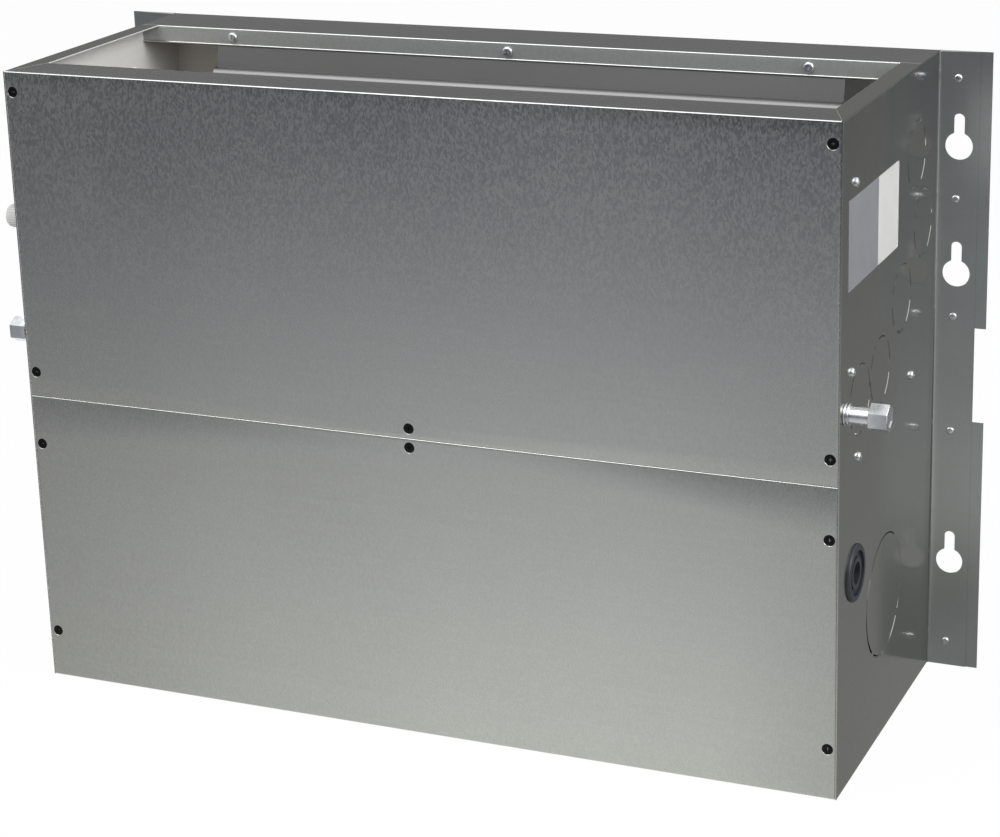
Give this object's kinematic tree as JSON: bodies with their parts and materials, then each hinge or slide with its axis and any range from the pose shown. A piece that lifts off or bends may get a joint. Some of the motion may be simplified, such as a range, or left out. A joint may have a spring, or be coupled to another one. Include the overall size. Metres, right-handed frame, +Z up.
{
  "type": "fan coil unit",
  "caption": "Concealed vertical fan coil unit in bare galvanised sheet, with slanted water coil, drain pan, twin fans, filter and keyholed wall flanges.",
  "frame": {"origin": "centre of the base, on the floor plane", "axes": "+Z up, the front panels face -Y, the wall face is +Y, +X is the unit's right seen from the front"},
  "size_m": [0.794, 0.28, 0.535],
  "materials": {
    "galvanised": "bare galvanised sheet, fine spangle",
    "upper_sheet": "bare galvanised sheet, darker by reflection",
    "black_screw": "black oxide",
    "zinc": "bright zinc",
    "foam": "matt closed-cell foam",
    "fins": "rolled foil",
    "copper": "drawn copper tube",
    "brass": "cast brass",
    "dark_plastic": "moulded",
    "motor": "black paint",
    "rubber": "matt",
    "fabric": "woven filter fabric",
    "light_plastic": "moulded",
    "terminal": "moulded",
    "grey_film": "bare printed film blank",
    "white_film": "bare white film"
  },
  "bodies": {
    "casing": {"back_panel": "galvanised", "left_side_panel": "galvanised", "right_side_panel": "galvanised", "left_wall_flange": "galvanised", "right_wall_flange": "galvanised", "upper_front_panel": "upper_sheet", "lower_front_panel": "galvanised", "front_panel_screws": "black_screw", "lip_screws": "zinc", "side_screws": "zinc", "fan_deck": "galvanised", "left_corner_post": "galvanised", "right_corner_post": "galvanised", "front_foam": "foam", "coil_cap": "galvanised", "left_coil_plate": "galvanised", "right_coil_plate": "galvanised", "fin_pack": "fins", "coil_tubes": "copper", "return_bends": "copper", "supply_manifold": "brass", "return_manifold": "brass", "drain_pan": "galvanised", "pan_supports": "galvanised", "left_fan_housing": "dark_plastic", "right_fan_housing": "dark_plastic", "fan_motor": "motor", "motor_rings": "rubber", "motor_hangers": "galvanised", "filter_frame": "dark_plastic", "filter_fabric": "fabric", "filter_guides": "galvanised", "terminal_box": "light_plastic", "terminal_box_cover": "light_plastic", "terminal_block": "terminal", "cable_grommet": "rubber", "cable_gland": "light_plastic", "grey_label": "grey_film", "white_label": "white_film"},
    "fan_rotor": {"left_fan_wheel": "fins", "right_fan_wheel": "fins", "fan_shaft": "zinc"},
    "bleed_screw": {"bleed_screw": "brass"},
    "right_drain_cap": {"right_drain_cap": "zinc"},
    "left_drain_cap": {"left_drain_cap": "zinc"}
  },
  "joints": [
    {"name": "fan_spin", "type": "hinge", "parent": "casing", "child": "fan_rotor", "pos_m": [0, -0.005, 0.131], "axis": [1, 0, 0], "continuous": true},
    {"name": "bleed_turn", "type": "hinge", "parent": "casing", "child": "bleed_screw", "pos_m": [-0.31745, 0.06492, 0.48082], "axis": [0, 0.7314, 0.682], "range_deg": [0, 360]},
    {"name": "right_cap_turn", "type": "hinge", "parent": "casing", "child": "right_drain_cap", "pos_m": [0.384, -0.127, 0.31069], "axis": [1, 0, 0], "range_deg": [0, 360]},
    {"name": "left_cap_turn", "type": "hinge", "parent": "casing", "child": "left_drain_cap", "pos_m": [-0.368, -0.127, 0.31069], "axis": [-1, 0, 0], "range_deg": [0, 360]}
  ]
}
